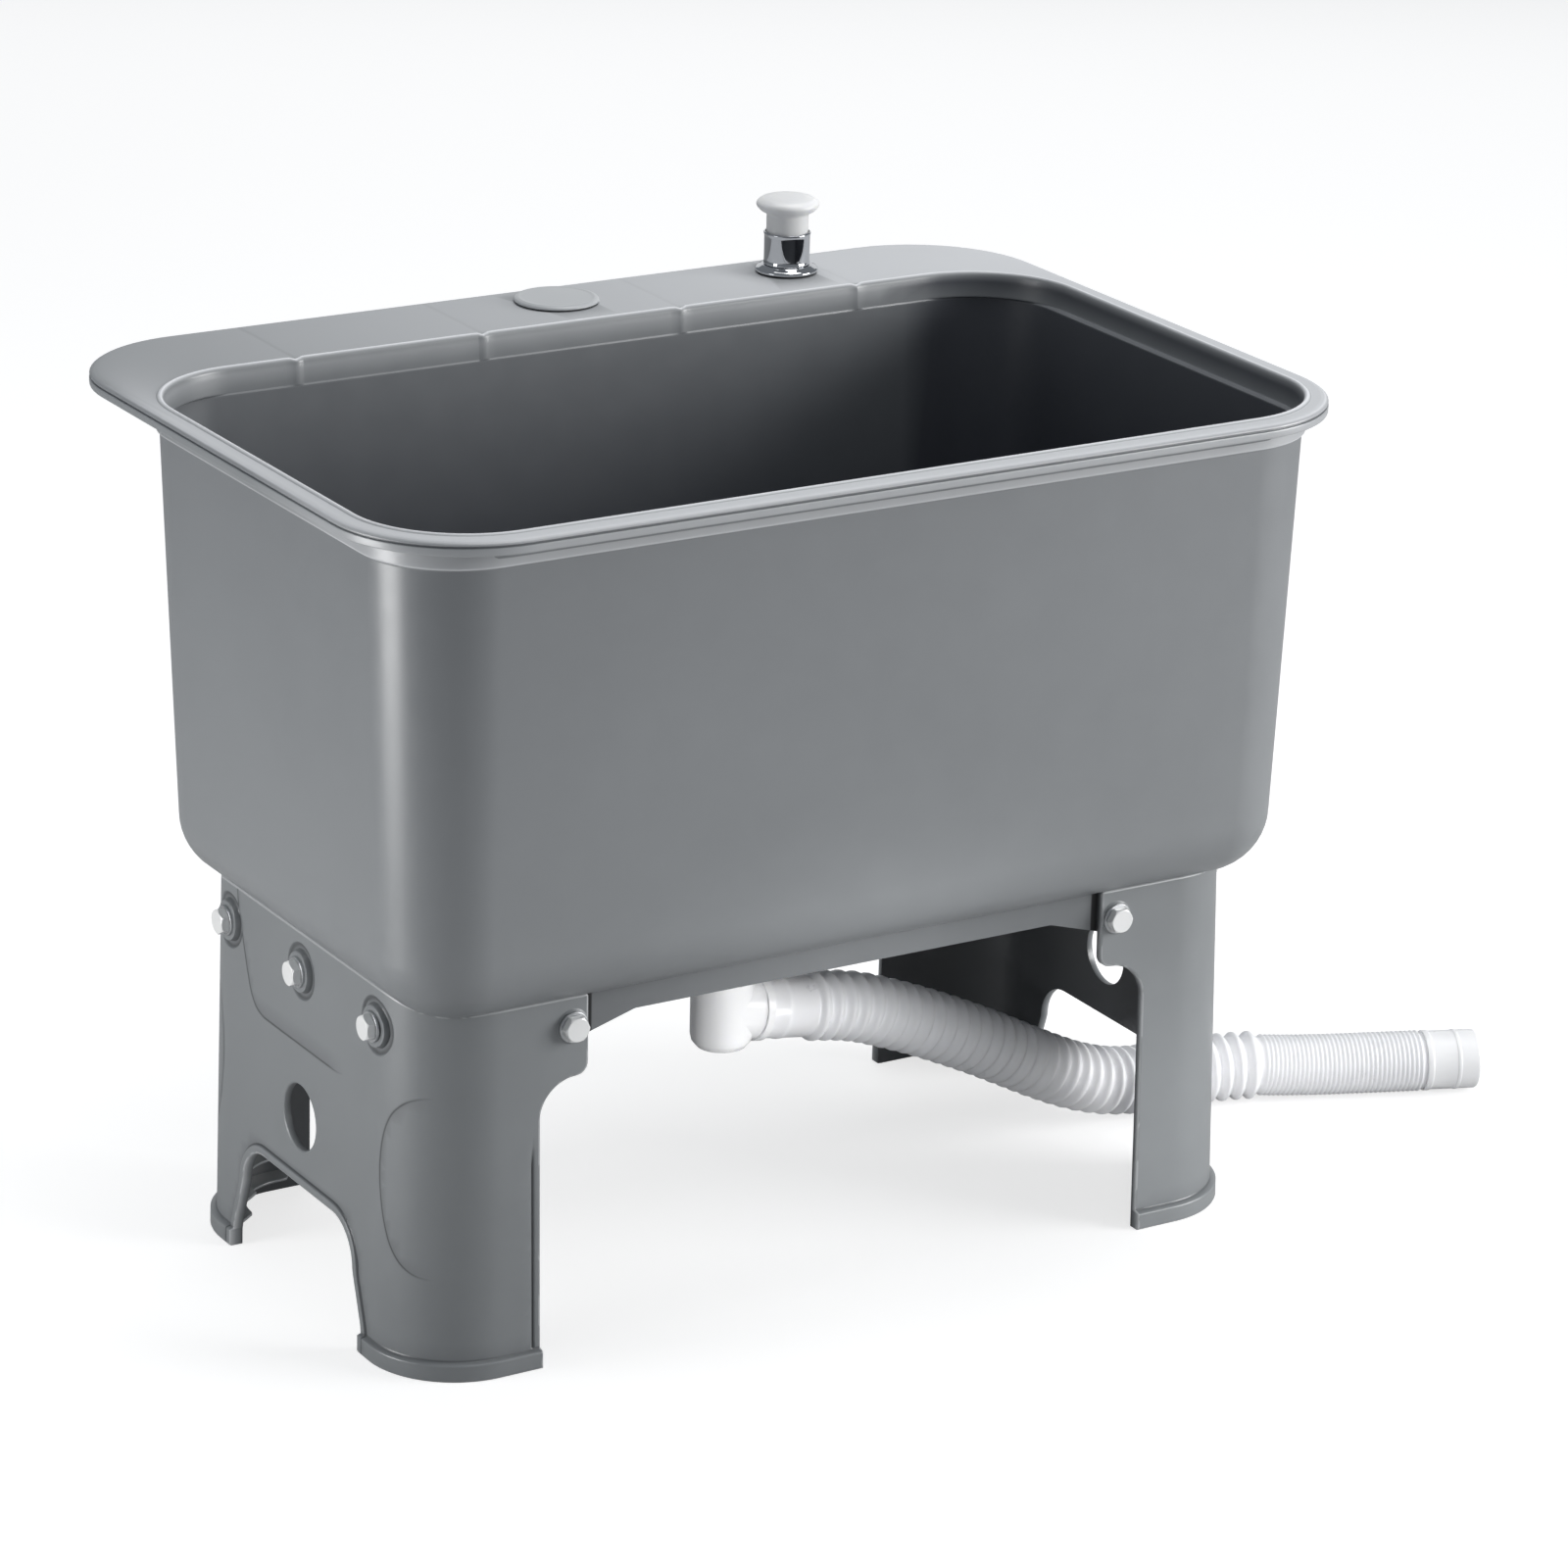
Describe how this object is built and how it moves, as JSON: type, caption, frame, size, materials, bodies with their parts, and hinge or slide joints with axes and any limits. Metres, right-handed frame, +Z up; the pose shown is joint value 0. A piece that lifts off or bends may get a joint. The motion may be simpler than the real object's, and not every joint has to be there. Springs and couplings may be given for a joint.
{
  "type": "freestanding utility sink",
  "caption": "Deep grey utility sink with a rear deck, standing on two moulded leg units, with a push control, strainer waste and ribbed drain hose.",
  "frame": {"origin": "centre of the sink's outline, without the hose, on the floor", "axes": "+X along the sink to the right, +Y to the back where the deck is, +Z up"},
  "size_m": [0.7788, 0.418, 0.5172],
  "materials": {
    "basin_plastic": "satin moulded grey with a soft sheen",
    "leg_plastic": "satin moulded grey, a little darker",
    "rail_plastic": "satin grey",
    "zinc_bolt": "bright zinc plate",
    "washer_steel": "zinc plate",
    "nut_steel": "zinc plate",
    "cap_plastic": "satin grey",
    "black_rubber": "matt",
    "chrome_trim": "mirror",
    "chrome_body": "mirror",
    "bush_plastic": "matt natural",
    "pale_plastic": "satin pale grey",
    "stem_steel": "turned",
    "clip_steel": "dark phosphate",
    "spring_steel": "drawn wire",
    "brass_nut": "machined",
    "waste_plastic": "glossy white",
    "nut_plastic": "glossy white",
    "basket_steel": "brushed",
    "elbow_plastic": "glossy white",
    "hose_plastic": "milky white",
    "tail_plastic": "glossy white"
  },
  "bodies": {
    "sink": {"basin": "basin_plastic", "left_leg_panel": "leg_plastic", "right_leg_panel": "leg_plastic", "front_rail": "rail_plastic", "back_rail": "rail_plastic", "left_end_bolts": "zinc_bolt", "right_end_bolts": "zinc_bolt", "front_rail_bolts": "zinc_bolt", "back_rail_bolts": "zinc_bolt", "end_bolt_washers": "washer_steel", "rail_bolt_washers": "washer_steel", "end_bolt_nuts": "nut_steel", "rail_bolt_nuts": "nut_steel", "cap_seal": "black_rubber", "control_gasket": "black_rubber", "control_flange": "chrome_trim", "control_body": "chrome_body", "guide_bush": "bush_plastic", "return_spring": "spring_steel", "control_washer": "black_rubber", "control_nut": "brass_nut", "waste_flange": "waste_plastic", "flange_seal": "black_rubber", "waste_gasket": "black_rubber", "waste_lock_nut": "nut_plastic", "slip_nut": "nut_plastic", "slip_seal": "black_rubber", "waste_elbow": "elbow_plastic", "drain_hose": "hose_plastic", "hose_tail": "tail_plastic"},
    "press": {"press_head": "pale_plastic", "press_stem": "stem_steel", "stem_clip": "clip_steel"},
    "cap": {"tap_hole_cap": "cap_plastic"},
    "basket": {"strainer_basket": "basket_steel"}
  },
  "joints": [
    {"name": "press_slide", "type": "slide", "parent": "sink", "child": "press", "axis": [0, 0, -1], "range_m": [0, 0.008], "stiffness_N_per_m": 500, "springref_m": -0.004, "deforming": ["return_spring"]},
    {"name": "cap_lift", "type": "slide", "parent": "sink", "child": "cap", "axis": [0, 0, 1], "range_m": [0, 0.04]},
    {"name": "basket_lift", "type": "slide", "parent": "sink", "child": "basket", "axis": [0, 0, 1], "range_m": [0, 0.31]}
  ]
}
